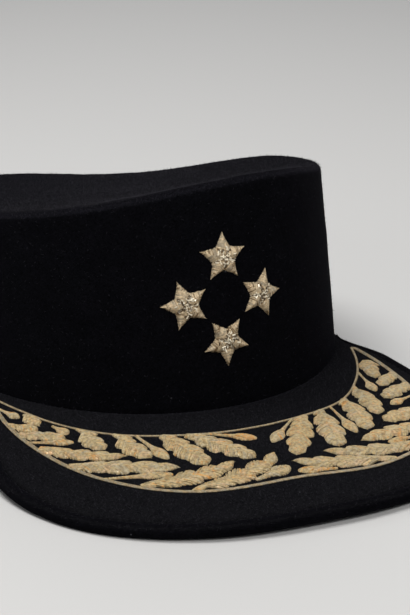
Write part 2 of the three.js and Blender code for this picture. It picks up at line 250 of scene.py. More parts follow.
BUDS = {f"leaf_right_{i}" for i in (2, 5, 8, 11, 14, 17)}
BUDS |= {f"leaf_left_{i}" for i in (1, 3, 6, 9, 12, 15, 18)}
POINTED_LEAVES = {f"leaf_right_{i}" for i in (13, 15, 16)} | {f"leaf_left_{i}" for i in (13, 14, 16, 17)}
FULL_BUDS = {"leaf_left_18": 0.6 * MM, "leaf_right_17": 0.3 * MM}
WARM_BUDS = {"leaf_right_17": 0.32, "leaf_right_14": 0.18, "leaf_left_9": 0.24, "leaf_left_12": 0.1}

# Laid threads
PURL = Thread(radius=0.2 * MM, pitch=0.42 * MM, slant=math.radians(48), ragged=2.5, spread=0.18)
SATIN = Thread(radius=0.19 * MM, pitch=0.29 * MM, slant=math.radians(72), ragged=4.5, spread=0.35)
ROUND_SIDES = 6
THREAD_STEP = 0.08 * MM
THREAD_OVERLAP = 0.12 * MM
THREAD_REACH = 2.5
FEWEST_STEPS = 4
THREAD_POINTS = (4, 8)
STEPS_PER_POINT = 8
SLANT_PLAY = 0.1
PITCH_PLAY = (0.9, 1.1)
LIFT_PLAY = (0.3, 0.75)
LEAST_RAGGED = 0.5
THICKNESS_PLAY = (0.88, 1.12)
THINNEST_SHARE = 0.4
FULL_LENGTH = 5
SWELL_PLAY = (0.92, 1.08)
END_SWELL = 0.7
MIDDLE_TINT = 0.5
NEW_TINT = 0.6
TINT_PLAY = 1 / 3
# Painted shade at the thread ends
END_SHADE = 0.3
LEAF_TINT_PLAY = 0.06
LEAF_PAD_TINT = 0.45
STAR_PAD_TINT = 0.5

# Stars
STAR_RAYS = 5
RAY_TURN = math.radians(72)
RAY_HALF_TURN = math.radians(36)
RAY_STATIONS = 80
STAR_REACH = 9.25 * MM
STAR_NOTCH_REACH = 3.65 * MM
STAR_NOTCH_WIDTH = 2.65 * MM
STAR_TIP_WIDTH = 0.08 * MM
STAR_HOLLOW = 1.35
STAR_RISE = 2.0 * MM
STAR_TIP_FALL = 0.75
STAR_DIP = 0.45
STAR_BASE = 2.2 * MM
STAR_BULGE = (1.7, 0.65)
SATIN_START = 0.6 * MM
# Painted shade on the threads in the valleys between a star's rays
VALLEY_SHADE = 0.6 * MM
VALLEY_SHADE_TINT = 1.0

# Cut purl on the stars
HEART_REACH = 4.0 * MM
HEART_RINGS = 9
HEART_SECTORS = 40
VALLEY_WIDTH = 1.0 * MM
VALLEY_FILL = 1.2
STRAY_CHIPS = 0.2
CHIP_RADIUS = 0.25 * MM
CHIP_LENGTH = 1.1 * MM
CHIP_SPACING = 0.7 * MM
CHIP_DENSITY = 5e6
CHIP_LIFT = 0.6 * MM
# Tints past 0.7 give near-black chips, painted shade among the bright ones
CHIP_TINT_WITH_SHADE = (0.0, 1.2)
CHIP_TINT_SEED = 4
CHIP_TILT = ((1.2, 0, 0), (1.75, 0, 0))
CHIP_TILT_SEED = 7
CHIP_SIZE = (0.75, 1.15)
CHIP_SIZE_SEED = 9
CHIP_SEEDS = 100

# Border cords
CORDS = {
    "border_inner": Cord(2, 1.05 * MM, 0.8 * MM, 0.27 * MM, 1.5 * MM),
    "border_outer": Cord(6, 1.8 * MM, 0.7 * MM, 0.24 * MM, 5 * MM),
}
CORD_RING = 6
STEPS_PER_TWIST = 8
CORD_TINT = 0.6
CORD_TINT_SPREAD = 0.8

# What a shader group puts out
SURFACE_LOOKS = [("Color", "Color"), ("Height", "Float"), ("Roughness", "Float")]

# Any turn about a surface's normal
SPIN = ((0, 0, -math.pi), (0, 0, math.pi))


def new_object(name, data):
    """An object of a mesh, a light or a camera, at the origin."""
    piece = bpy.data.objects.new(name, data)
    bpy.context.scene.collection.objects.link(piece)
    return piece


def plain_mesh(piece):
    """The evaluated result of a piece's modifiers as a plain mesh, with the modifiers removed."""
    evaluated = piece.evaluated_get(bpy.context.evaluated_depsgraph_get())
    mesh = bpy.data.meshes.new_from_object(evaluated)
    mesh.name = piece.name
    piece.modifiers.clear()
    piece.data = mesh
    return piece


def set_values(mesh, name, values):
    """Gives a mesh a named value at each of its points."""
    mesh.attributes.new(name, "FLOAT", "POINT").data.foreach_set("value", values)


def eased(share):
    """A share from 0 to 1 that starts and ends gently."""
    return share * share * (3 - 2 * share)


# Node trees

def add(tree, kind, values=None, **settings):
    """A node of a tree. A value that is a socket is linked, and any other is set."""
    node = tree.nodes.new(kind)
    for key, value in settings.items():
        setattr(node, key, value)
    for key, value in (values or {}).items():
        if isinstance(value, bpy.types.NodeSocket):
            tree.links.new(value, node.inputs[key])
        else:
            node.inputs[key].default_value = value
    return node


def out_of(tree, kind, values=None, **settings):
    """The first output of a new node of a tree."""
    return add(tree, kind, values, **settings).outputs[0]


def new_tree(name, kind, inputs, outputs):
    """A node group with named inputs and outputs, its input node and its output node."""
    tree = bpy.data.node_groups.new(name, kind)
    for label, socket in inputs:
        tree.interface.new_socket(label, in_out="INPUT", socket_type="NodeSocket" + socket)
    for label, socket in outputs:
        tree.interface.new_socket(label, in_out="OUTPUT", socket_type="NodeSocket" + socket)
    return tree, tree.nodes.new("NodeGroupInput").outputs, tree.nodes.new("NodeGroupOutput").inputs


def use_tree(piece, tree, values):
    """Runs a Geometry Nodes tree on a piece, with its named inputs set, and keeps the plain mesh."""
    modifier = piece.modifiers.new(tree.name, "NODES")
    modifier.node_group = tree
    names = {item.name: item.identifier for item in tree.interface.items_tree if item.in_out == "INPUT"}
    for label, value in values.items():
        modifier[names[label]] = value
    return plain_mesh(piece)


def math_node(tree, operation, first, second=0.0):
    """The result of a sum on one or two values."""
    return out_of(tree, "ShaderNodeMath", {0: first, 1: second}, operation=operation)


def scaled(tree, vector, factor):
    """A vector times a value."""
    return out_of(tree, "ShaderNodeVectorMath", {0: vector, "Scale": factor}, operation="SCALE")


def vector_node(tree, operation, first, second):
    """The result of a sum on two vectors."""
    return out_of(tree, "ShaderNodeVectorMath", {0: first, 1: second}, operation=operation)


def put_out(tree, geometry, given, result):
    """Makes a geometry's instances real, sets its material and puts it out of its tree."""
    real = out_of(tree, "GeometryNodeRealizeInstances", {"Geometry": geometry})
    values = {"Geometry": real, "Material": given["Material"]}
    tree.links.new(out_of(tree, "GeometryNodeSetMaterial", values), result[0])
    return tree


def stored(tree, geometry, name, value, kind="FLOAT"):
    """A geometry with a named value kept at each of its points."""
    values = {"Geometry": geometry, "Name": name, "Value": value}
    return out_of(tree, "GeometryNodeStoreNamedAttribute", values, data_type=kind, domain="POINT")


def named(tree, name, kind="FLOAT"):
    """A named value of the points of a geometry."""
    return out_of(tree, "GeometryNodeInputNamedAttribute", {"Name": name}, data_type=kind)


def swept(tree, curve, profile, scale=1.0):
    """A curve swept with a profile into closed rods."""
    values = {"Curve": curve, "Profile Curve": profile, "Scale": scale, "Fill Caps": True}
    return out_of(tree, "GeometryNodeCurveToMesh", values)


def circle(tree, sides, radius):
    """A round profile."""
    return out_of(tree, "GeometryNodeCurvePrimitiveCircle", {"Resolution": sides, "Radius": radius})


def laid_thread_tree():
    """Round threads along the loose edges of a mesh, with a padding under them."""
    tree, given, result = new_tree("laid_thread", "GeometryNodeTree", [
        ("Lines", "Geometry"), ("Padding", "Object"), ("Radius", "Float"),
        ("Sides", "Int"), ("Material", "Material"),
    ], [("Threads", "Geometry")])
    curve = out_of(tree, "GeometryNodeMeshToCurve", {"Mesh": given["Lines"]})
    curve = stored(tree, curve, "along", add(tree, "GeometryNodeSplineParameter").outputs["Length"])
    radius = math_node(tree, "MULTIPLY", named(tree, "swell"), given["Radius"])
    rods = swept(tree, curve, circle(tree, given["Sides"], 1.0), radius)
    padding = add(tree, "GeometryNodeObjectInfo", {"Object": given["Padding"]}).outputs["Geometry"]
    both = add(tree, "GeometryNodeJoinGeometry")
    for part in (rods, padding):
        tree.links.new(part, both.inputs[0])
    return put_out(tree, both.outputs[0], given, result)


def twisted_cord_tree():
    """Strands twisted round a path and pressed a little flat."""
    tree, given, result = new_tree("twisted_cord", "GeometryNodeTree", [
        ("Path", "Geometry"), ("Strands", "Int"), ("Strand radius", "Float"),
        ("Core radius", "Float"), ("Flatness", "Float"),
        ("Twist length", "Float"), ("Step", "Float"), ("Sides", "Int"),
        ("Tint", "Float"), ("Tint spread", "Float"), ("Material", "Material"),
    ], [("Cord", "Geometry")])
    path = out_of(tree, "GeometryNodeMeshToCurve", {"Mesh": given["Path"]})
    even = {"Curve": path, "Length": given["Step"]}
    path = out_of(tree, "GeometryNodeResampleCurve", even, mode="LENGTH")
    path = out_of(tree, "GeometryNodeSetCurveNormal", {"Curve": path}, mode="Z_UP")
    each = {"Geometry": path, "Amount": given["Strands"]}
    copies = add(tree, "GeometryNodeDuplicateElements", each, domain="SPLINE")
    strand = math_node(tree, "DIVIDE", copies.outputs["Duplicate Index"], given["Strands"])
    along = add(tree, "GeometryNodeSplineParameter").outputs["Length"]
    turns = math_node(tree, "DIVIDE", along, given["Twist length"])
    angle = math_node(tree, "MULTIPLY", math_node(tree, "ADD", turns, strand), 2 * math.pi)
    normal = out_of(tree, "GeometryNodeInputNormal")
    over = vector_node(tree, "CROSS_PRODUCT", out_of(tree, "GeometryNodeInputTangent"), normal)
    across = scaled(tree, normal, math_node(tree, "COSINE", angle))
    height = math_node(tree, "MULTIPLY", math_node(tree, "SINE", angle), given["Flatness"])
    out = vector_node(tree, "ADD", across, scaled(tree, over, height))
    moved = stored(tree, copies.outputs[0], "lay", scaled(tree, out, given["Core radius"]), "FLOAT_VECTOR")
    moved = stored(tree, moved, "along", along)
    paler = math_node(tree, "MULTIPLY", strand, given["Tint spread"])
    moved = stored(tree, moved, "tint", math_node(tree, "SUBTRACT", given["Tint"], paler))
    lay = named(tree, "lay", "FLOAT_VECTOR")
    moved = out_of(tree, "GeometryNodeSetPosition", {"Geometry": moved, "Offset": lay})
    rods = swept(tree, moved, circle(tree, given["Sides"], given["Strand radius"]))
    return put_out(tree, rods, given, result)


def random_value(tree, limits, seed):
    """A random value between two limits at each point."""
    values = {2: limits[0], 3: limits[1], "Seed": seed}
    return add(tree, "FunctionNodeRandomValue", values, data_type="FLOAT").outputs[1]


def random_turn(tree, limits, seed):
    """A random rotation between two limits at each point."""
    values = {0: limits[0], 1: limits[1], "Seed": seed}
    angles = out_of(tree, "FunctionNodeRandomValue", values, data_type="FLOAT_VECTOR")
    return out_of(tree, "FunctionNodeEulerToRotation", {0: angles})


def strewn(tree, points, facing, shape, turns, size):
    """Copies of a shape on points, each turned from the way that the surface faces."""
    for turn in turns:
        values = {0: facing, 1: turn}
        facing = out_of(tree, "FunctionNodeRotateRotation", values, rotation_space="LOCAL")
    values = {"Points": points, "Instance": shape, "Rotation": facing, "Scale": size}
    return out_of(tree, "GeometryNodeInstanceOnPoints", values)


def felt_nap_tree():
    """Short lying fibres scattered over a felt surface where its nap attribute says."""
    tree, given, result = new_tree("felt_nap", "GeometryNodeTree", [
        ("Felt", "Geometry"), ("Density", "Float"), ("Length", "Float"),
        ("Thickness", "Float"), ("Seed", "Int"), ("Material", "Material"),
    ], [("Fibres", "Geometry")])
    density = math_node(tree, "MULTIPLY", named(tree, "nap"), given["Density"])
    spots = add(tree, "GeometryNodeDistributePointsOnFaces", {
        "Mesh": given["Felt"], "Density": density, "Seed": given["Seed"],
    }, distribute_method="RANDOM").outputs
    fibre = out_of(tree, "GeometryNodeMeshCone", {
        "Vertices": FIBRE_SIDES, "Radius Top": 0.0, "Radius Bottom": given["Thickness"],
        "Depth": given["Length"],
    }, fill_type="NGON")
    turns = random_turn(tree, SPIN, given["Seed"]), random_turn(tree, FIBRE_TILT, FIBRE_TILT_SEED)
    size = random_value(tree, FIBRE_SIZE, FIBRE_SIZE_SEED)
    fibres = strewn(tree, spots["Points"], spots["Rotation"], fibre, turns, size)
    return put_out(tree, fibres, given, result)


def cut_purl_tree():
    """Short chips of cut purl strewn over the heart of a star where its strewn attribute says."""
    tree, given, result = new_tree("cut_purl", "GeometryNodeTree", [
        ("Heart", "Geometry"), ("Spacing", "Float"), ("Radius", "Float"),
        ("Length", "Float"), ("Seed", "Int"), ("Material", "Material"),
    ], [("Chips", "Geometry")])
    spots = add(tree, "GeometryNodeDistributePointsOnFaces", {
        "Mesh": given["Heart"], "Distance Min": given["Spacing"], "Density Max": CHIP_DENSITY,
        "Density Factor": named(tree, "strewn"), "Seed": given["Seed"],
    }, distribute_method="POISSON").outputs
    # Some chips get tints that make them near-black painted shade
    points = stored(tree, spots["Points"], "tint", random_value(tree, CHIP_TINT_WITH_SHADE, CHIP_TINT_SEED))
    chip = out_of(tree, "GeometryNodeMeshCylinder", {
        "Vertices": ROUND_SIDES, "Radius": given["Radius"], "Depth": given["Length"],
    }, fill_type="NGON")
    turns = random_turn(tree, SPIN, given["Seed"]), random_turn(tree, CHIP_TILT, CHIP_TILT_SEED)
    size = random_value(tree, CHIP_SIZE, CHIP_SIZE_SEED)
    chips = strewn(tree, points, spots["Rotation"], chip, turns, size)
    return put_out(tree, chips, given, result)


# Shader groups and materials

def colour_mix(tree, share, first, second):
    """A colour between two others."""
    return add(tree, "ShaderNodeMix", {0: share, 6: first, 7: second}, data_type="RGBA").outputs[2]


def remap(tree, value, span, result=(0, 1)):
    """A value moved from one span to another, and kept inside it."""
    values = {"Value": value, 1: span[0], 2: span[1], 3: result[0], 4: result[1]}
    return out_of(tree, "ShaderNodeMapRange", values)


def noise_at(tree, place, scale, detail=3.0, roughness=0.5, distortion=0.0):
    """Noise of a scale over a surface."""
    values = {"Vector": place, "Scale": scale, "Detail": detail, "Roughness": roughness,
              "Distortion": distortion}
    return out_of(tree, "ShaderNodeTexNoise", values)


def felt_surface_group():
    """Matted wool: fine nap, slow mottling, a paler painted highlight where the felt is marked for it, and a
    few pale dust flecks.
    """
    tree, given, result = new_tree("felt_surface", "ShaderNodeTree", [
        ("Position", "Vector"), ("Rim", "Float"), ("Deep", "Color"),
        ("Nap", "Color"), ("Rubbed", "Color"), ("Fleck", "Color"),
        ("Nap scale", "Float"),
    ], SURFACE_LOOKS)
    place = given["Position"]
    fine = noise_at(tree, place, given["Nap scale"], detail=5.0, roughness=0.7, distortion=1.5)
    slow = noise_at(tree, place, MOTTLE_SCALE)
    fibres = remap(tree, fine, NAP_FIBRES)
    mask = math_node(tree, "MULTIPLY", fibres, remap(tree, slow, MOTTLING, MOTTLED_COVER))
    felt = colour_mix(tree, mask, given["Deep"], given["Nap"])
    # Painted highlight: the felt turns paler where it is marked for it
    felt = colour_mix(tree, math_node(tree, "MULTIPLY", given["Rim"], fibres), felt, given["Rubbed"])
    cells = add(tree, "ShaderNodeTexVoronoi", {"Vector": place, "Scale": FLECK_SCALE}).outputs
    near = remap(tree, cells["Distance"], FLECK_EDGE, (1, 0))
    chosen = out_of(tree, "ShaderNodeSeparateColor", {0: cells["Color"]})
    fleck = math_node(tree, "MULTIPLY", near, remap(tree, chosen, FLECK_CHANCE))
    tree.links.new(colour_mix(tree, fleck, felt, given["Fleck"]), result["Color"])
    tree.links.new(fine, result["Height"])
    tree.links.new(remap(tree, slow, MOTTLING, MOTTLED_ROUGHNESS), result["Roughness"])
    return tree


def thread_colour_group():
    """Metal thread: each thread has its own tint, with tarnish, random dark specks of painted shade and a
    fine speckle.
    """
    tree, given, result = new_tree("thread_colour", "ShaderNodeTree", [
        ("Position", "Vector"), ("Tint", "Float"), ("Along", "Float"),
        ("Grey", "Color"), ("Gold", "Color"), ("Rose", "Color"),
        ("Copper", "Color"), ("Pit", "Color"), ("Grain", "Float"),
        ("Pitting", "Float"), ("Coil length", "Float"), ("Smoothest", "Float"),
        ("Roughest", "Float"),
    ], SURFACE_LOOKS)
    place = given["Position"]
    speckle = noise_at(tree, place, SPECKLE_SCALE)
    shade_noise = noise_at(tree, place, SHADE_SPECK_SCALE, roughness=0.55)
    tarnish = noise_at(tree, place, TARNISH_SCALE, roughness=0.6)
    spread = math_node(tree, "MULTIPLY", remap(tree, speckle, SPECKLING, (-1, 1)), given["Grain"])
    tint = math_node(tree, "ADD", given["Tint"], spread)
    thread = colour_mix(tree, remap(tree, tint, GOLD_TINTS), given["Grey"], given["Gold"])
    thread = colour_mix(tree, remap(tree, tarnish, TARNISH, (0, MOST_TARNISH)), thread, given["Rose"])
    # On the satin and the cut purl, high tints turn to the dark painted shade
    thread = colour_mix(tree, remap(tree, tint, COPPER_AND_SHADE_TINTS), thread, given["Copper"])
    # Painted shade: random dark specks for the gaps between coils
    speck_shade = math_node(tree, "MULTIPLY", remap(tree, shade_noise, SHADE_SPECK_SPAN, (1, 0)), given["Pitting"])
    tree.links.new(colour_mix(tree, speck_shade, thread, given["Pit"]), result["Color"])
    coil = math_node(tree, "SINE", math_node(tree, "DIVIDE", given["Along"], given["Coil length"]))
    tree.links.new(math_node(tree, "ADD", coil, speckle), result["Height"])
    gloss = remap(tree, speckle, SPECKLING, (given["Smoothest"], given["Roughest"]))
    tree.links.new(gloss, result["Roughness"])
    return tree


def new_material(name, values):
    """A material, its node tree and its shader with some values set."""
    material = bpy.data.materials.new(name)
    material.use_nodes = True
    shader = material.node_tree.nodes["Principled BSDF"]
    for label, value in values.items():
        shader.inputs[label].default_value = value
    return material, material.node_tree, shader


def surface_values(tree, *names):
    """The place on the piece and named values of it, as a material reads them."""
    place = add(tree, "ShaderNodeTexCoord").outputs["Object"]
    return place, *(add(tree, "ShaderNodeAttribute", attribute_name=name).outputs["Fac"] for name in names)


def put_on(tree, shader, group, values, bump):
    """Places a shader group and links its colour, roughness and height to a shader."""
    looks = add(tree, "ShaderNodeGroup", values, node_tree=group).outputs
    tree.links.new(looks["Color"], shader.inputs["Base Color"])
    tree.links.new(looks["Roughness"], shader.inputs["Roughness"])
    relief = {"Height": looks["Height"], "Strength": bump[0], "Distance": bump[1]}
    tree.links.new(out_of(tree, "ShaderNodeBump", relief), shader.inputs["Normal"])


def felt_material(name, group, highlight_colour):
    """Black wool felt, with the paler colour of its painted highlight."""
    material, tree, shader = new_material(name, FELT_SHADER)
    place, rim = surface_values(tree, "rim")
    put_on(tree, shader, group, {"Position": place, "Rim": rim, "Rubbed": highlight_colour, **FELT_LOOKS}, FELT_BUMP)
    return material


def thread_material(name, group):
    """A metal thread, coiled like fine wire."""
    material, tree, shader = new_material(name, {"Metallic": THREAD_METAL[name]})
    place, tint, along = surface_values(tree, "tint", "along")
    put_on(tree, shader, group, {
        "Position": place, "Tint": tint, "Along": along, "Coil length": COIL_LENGTH, **THREAD_LOOKS[name],
    }, THREAD_BUMP)
    return material


# Felt pieces

def merged_copy(name):
    """A node's solid as a bmesh with its corners merged."""
    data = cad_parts[name].data
    mesh = bpy.data.meshes.new(name + "_copy")
    mesh.from_pydata([v.co for v in data.vertices], [], [p.vertices for p in data.polygons])
    solid = bmesh.new()
    solid.from_mesh(mesh)
    bpy.data.meshes.remove(mesh)
    bmesh.ops.remove_doubles(solid, verts=solid.verts, dist=MERGE_DISTANCE)
    return solid


def corners_of(node):
    """The corners of a node's solid."""
    solid = merged_copy(node)
    corners = [v.co.copy() for v in solid.verts]
    solid.free()
    return corners


def seat_of(point):
    """A point's angle from the peak's middle, its way out from the crown's foot, and that way."""
    own = CAP_OWN @ point
    angle = math.atan2(own.x / CROWN_HALF_WIDTH, -own.y / CROWN_HALF_LENGTH)
    foot = Vector((CROWN_HALF_WIDTH * math.sin(angle), -CROWN_HALF_LENGTH * math.cos(angle), own.z))
    out = Vector((math.sin(angle) / CROWN_HALF_WIDTH, -math.cos(angle) / CROWN_HALF_LENGTH, 0)).normalized()
    return angle - PEAK_TURN, (own - foot).dot(out), CAP_PLACE.to_3x3() @ out


def taper_ends(mesh):
    """Draws the ends of the peak in to the crown, where they run out to nothing."""
    first, last, most = PEAK_END_TAPER
    for vertex in mesh.vertices:
        angle, reach, out = seat_of(vertex.co)
        share = min(max((abs(angle) - first) / (last - first), 0), 1)
        vertex.co -= out * max(reach, 0) * most * eased(share)


def press_seat(mesh):
    """Presses the peak's inner edge against the crown, as it is sewn."""
    for vertex in mesh.vertices:
        _, reach, out = seat_of(vertex.co)
        vertex.co -= out * SEAT_PUSH * min(max(1 - reach / SEAT_REACH, 0), 1)


def crease_sewn(solid, node):
    """Keeps the edges of the peak, and of the crown's foot, crisp under the subdivision."""
    layer = solid.edges.layers.float.new("crease_edge")
    for edge in solid.edges:
        sewn = node == "peak" or all((CAP_OWN @ v.co).z < CROWN_FOOT for v in edge.verts)
        if sewn and edge.calc_face_angle(0) > SHARP_EDGE:
            edge[layer] = SEWN_CREASE


def rounded_solid(node, name):
    """A piece with the form of a node's solid, made round and smooth."""
    solid = merged_copy(node)
    bmesh.ops.join_triangles(solid, faces=solid.faces, cmp_seam=False, cmp_sharp=False, cmp_uvs=False,
                             cmp_vcols=False, cmp_materials=False, angle_face_threshold=JOIN_BEND,
                             angle_shape_threshold=JOIN_SKEW)
    if node != "peak_edge":
        crease_sewn(solid, node)
    mesh = bpy.data.meshes.new(name)
    solid.to_mesh(mesh)
    solid.free()
    piece = new_object(name, mesh)
    smooth = piece.modifiers.new("smooth", "SUBSURF")
    smooth.levels = smooth.render_levels = FELT_LEVELS
    plain_mesh(piece)
    piece.data.shade_smooth()
    return piece


def dent(mesh, normals, node):
    """Makes felt a little uneven, with the rolled edge swollen and the peak's rim pushed against it."""
    share = 1.0 if node == "crown" else SEWN_DENT_SHARE
    for vertex, normal in zip(mesh.vertices, normals):
        if node == "peak_edge":
            vertex.co += normal * EDGE_SWELL
        elif node == "peak" and normal.dot(seat_of(vertex.co)[2]) > RIM_FACING:
            vertex.co += normal * RIM_PUSH
        for size, depth in FELT_DENTS:
            vertex.co += normal * share * depth * noise.noise(vertex.co / size)
        vertex.co.z = max(vertex.co.z, 0)


def highlight_of(node, normal, outward):
    """How much painted highlight felt gets: evenly over the peak's shown faces, and most on one slope of the
    roll and the crown's rim.
    """
    if node == "peak":
        return PEAK_HIGHLIGHT
    if node == "peak_edge":
        return ROLL_HIGHLIGHT * math.exp(-((normal.z - ROLL_SLOPE) / ROLL_SPREAD) ** 2)
    if normal.dot(outward) > 0:
        return RIM_HIGHLIGHT * math.exp(-((normal.z - RIM_SLOPE) / RIM_SPREAD) ** 2)
    return 0.0


def mark_nap(mesh, normals, node, centre):
    """Marks where felt shows, with the share of nap and the painted highlight that it has there."""
    naps, rims = [], []
    for vertex, normal in zip(mesh.vertices, normals):
        outward = Vector((vertex.co.x - centre.x, vertex.co.y - centre.y, 0)).normalized()
        outside = normal.z > SHOWN_SLOPE or normal.dot(outward) > SHOWN_FACING
        shown = outside and vertex.co.z > NAP_FLOOR
        highlight = highlight_of(node, normal, outward) if shown else 0.0
        cover = TOP_NAP if normal.z > TOP_SLOPE else WALL_NAP
        naps.append(cover + RIM_NAP * highlight if shown else 0.0)
        rims.append(highlight)
    set_values(mesh, "nap", naps)
    set_values(mesh, "rim", rims)


def felt_piece(node, material, centre):
    """A node's felt, a little uneven, with its outer side marked for nap."""
    piece = rounded_solid(node, node + "_felt")
    mesh = piece.data
    if node != "crown":
        taper_ends(mesh)
    if node == "peak":
        press_seat(mesh)
    normals = [v.normal.copy() for v in mesh.vertices]
    dent(mesh, normals, node)
    mark_nap(mesh, normals, node, centre)
    mesh.materials.append(material)
    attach(piece, "root")
    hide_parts(node)
    return piece


def nap_piece(node, felt, tree, seed, material):
    """The loose fibres on a node's felt."""
    piece = new_object(node + "_nap", felt.data.copy())
    use_tree(piece, tree, {"Density": NAP_DENSITY[node], "Length": NAP_LENGTH, "Thickness": NAP_THICKNESS,
                           "Seed": seed, "Material": material})
    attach(piece, "root")


# Padding and laid threads

@dataclass
class Padding:
    """A low padded form on the felt: two edges along a way, and a height that falls to a brim at them."""

    felt: BVHTree
    origin: Vector
    way: Vector
    side: Vector
    up: Vector
    stations: np.ndarray
    low: np.ndarray
    middle: np.ndarray
    high: np.ndarray
    rise: np.ndarray
    brim: np.ndarray
    bulge: tuple

    def edges(self, s):
        """The lower edge, the middle and the upper edge at a place along the form."""
        return [np.interp(s, self.stations, line) for line in (self.low, self.middle, self.high)]

    def height(self, s, t):
        """How high the form stands over the felt."""
        low, middle, high = self.edges(s)
        half = np.maximum(np.where(t > middle, high - middle, middle - low), LEAST_HALF)
        rise, brim = (np.interp(s, self.stations, line) for line in (self.rise, self.brim))
        share = np.abs(t - middle) / half
        return brim + (rise - brim) * np.maximum(1 - share ** self.bulge[0], 0) ** self.bulge[1]

    def spot(self, s, t, lift):
        """The place on the felt under a spot of the form, lifted off it."""
        place = self.origin + self.way * s + self.side * t
        base = self.felt.ray_cast(place + self.up * RAY_HEIGHT, -self.up)[0]
        return (base or place) + self.up * lift

    def slanting_run(self, first, place, side, slant, width):
        """A line that slants from the midrib to an edge, and the numbers of its steps inside the form."""
        out = np.arange(-THREAD_OVERLAP, THREAD_REACH * width, THREAD_STEP)
        s = place + out * math.cos(slant)
        t = np.interp(place, self.stations, self.middle) + side * out * math.sin(slant)
        low, _, high = self.edges(s)
        inside = np.flatnonzero((s > first) & (s < self.stations[-1]) & (t > low) & (t < high))
        gaps = np.flatnonzero(np.diff(inside) > 1)
        return s, t, inside[:gaps[0] + 1] if len(gaps) else inside

    def threads(self, first, thread, offset, rng):
        """Threads laid side by side from the midrib to both edges, each with its tint and thickness."""
        lines = []
        width = float(np.max(self.high - self.low))
        for side in (1, -1):
            place = first - width
            tint = rng.gauss(MIDDLE_TINT + offset, thread.spread)
            while place < self.stations[-1]:
                slant = thread.slant + rng.uniform(-SLANT_PLAY, SLANT_PLAY)
                s, t, run = self.slanting_run(first, place, side, slant, width)
                place += thread.pitch * rng.uniform(*PITCH_PLAY)
                if len(run) < FEWEST_STEPS:
                    continue
                count = min(THREAD_POINTS[1], max(THREAD_POINTS[0], len(run) // STEPS_PER_POINT))
                picks = run[np.linspace(0, len(run) - 1, count).round().astype(int)]
                heights = self.height(s[picks], t[picks]) + thread.radius * rng.uniform(*LIFT_PLAY)
                line = [self.spot(s[k], t[k], h) for k, h in zip(picks, heights)]
                end = min(run[-1] + round(rng.uniform(LEAST_RAGGED, thread.ragged)), len(s) - 1)
                brim = float(np.interp(s[end], self.stations, self.brim))
                line.append(self.spot(s[end], t[end], max(brim - thread.radius, 0)))
                full = len(run) * THREAD_STEP / (FULL_LENGTH * thread.radius)
                thickness = min(max(full, THINNEST_SHARE), 1) * rng.uniform(*THICKNESS_PLAY)
                if rng.random() < NEW_TINT:
                    tint = rng.gauss(MIDDLE_TINT + offset, thread.spread)
                lines.append((line, tint + rng.gauss(0, thread.spread * TINT_PLAY), thickness))
        return lines

    def mesh_parts(self, points, faces):
        """Adds the closed form to lists of points and faces."""
        length = self.stations[-1] - self.stations[0]
        count = max(FEWEST_PAD_STATIONS, round(length / PAD_STATION))
        start = len(points)
        for s in np.linspace(self.stations[0], self.stations[-1], count + 1):
            low, middle, high = self.edges(s)
            for share in np.linspace(-1, 1, PAD_COLUMNS):
                t = middle + share * ((high - middle) if share > 0 else (middle - low))
                sink = PAD_SINK if abs(share) == 1 else 0
                points.append(self.spot(s, t, float(self.height(s, t)) - sink))
        for row in range(count):
            a = start + row * PAD_COLUMNS
            b = a + PAD_COLUMNS
            faces.extend((a + i, a + i + 1, b + i + 1, b + i) for i in range(PAD_COLUMNS - 1))
            faces.append((a + PAD_COLUMNS - 1, a, b, b + PAD_COLUMNS - 1))
        end = start + count * PAD_COLUMNS
        faces.append(tuple(range(start + PAD_COLUMNS - 1, start - 1, -1)))
        faces.append(tuple(range(end, end + PAD_COLUMNS)))


def padding_object(name, forms, tint):
    """The padded forms of a piece as one object of one tint."""
    points, faces = [], []
    for form in forms:
        form.mesh_parts(points, faces)
    mesh = bpy.data.meshes.new(name)
    mesh.from_pydata(points, [], faces)
    solid = bmesh.new()
    solid.from_mesh(mesh)
    bmesh.ops.recalc_face_normals(solid, faces=solid.faces)
    solid.to_mesh(mesh)
    solid.free()
    set_values(mesh, "tint", [tint] * len(mesh.vertices))
    return new_object(name, mesh)


def lines_object(name, lines, rng):
    """An object of loose edges, one chain for each laid thread, with its tint and its swell along the way."""
    points, edges, tints, swells = [], [], [], []
    for line, tint, thickness in lines:
        last = len(line) - 1
        for i, point in enumerate(line):
            if i:
                edges.append((len(points) - 1, len(points)))
            points.append(point)
            # Painted shade: a thread's last point, where it goes down into the felt, is shifted towards the
            # grey end
            tarnish = END_SHADE if i == last else 0
            tints.append(min(max(tint - tarnish, 0.0), 1.0))
            swells.append(thickness * (END_SWELL if i in (0, last) else rng.uniform(*SWELL_PLAY)))
    mesh = bpy.data.meshes.new(name)
    mesh.from_pydata(points, edges, [])
    set_values(mesh, "tint", tints)
    set_values(mesh, "swell", swells)
    return new_object(name, mesh)


def stitched_piece(node, name, lines, forms, tree, radius, tint, material, rng):
    """A node's padding covered with its laid threads."""
    padding = padding_object(name + "_padding", forms, tint)
    piece = lines_object(name, lines, rng)
    use_tree(piece, tree, {"Padding": padding, "Radius": radius, "Sides": ROUND_SIDES, "Material": material})
    bpy.data.objects.remove(padding)
    piece.data.shade_smooth()
    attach(piece, "root")
    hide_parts(node)
    return piece


# Leaves and buds

def softened(values, softness, step):
    """Values along a line, smoothed over a distance."""
    reach = max(1, round(SOFT_REACH * softness / step))
    weights = np.exp(-0.5 * (np.arange(-reach, reach + 1) * step / softness) ** 2)
    return np.convolve(np.pad(values, reach, "edge"), weights / weights.sum(), "valid")


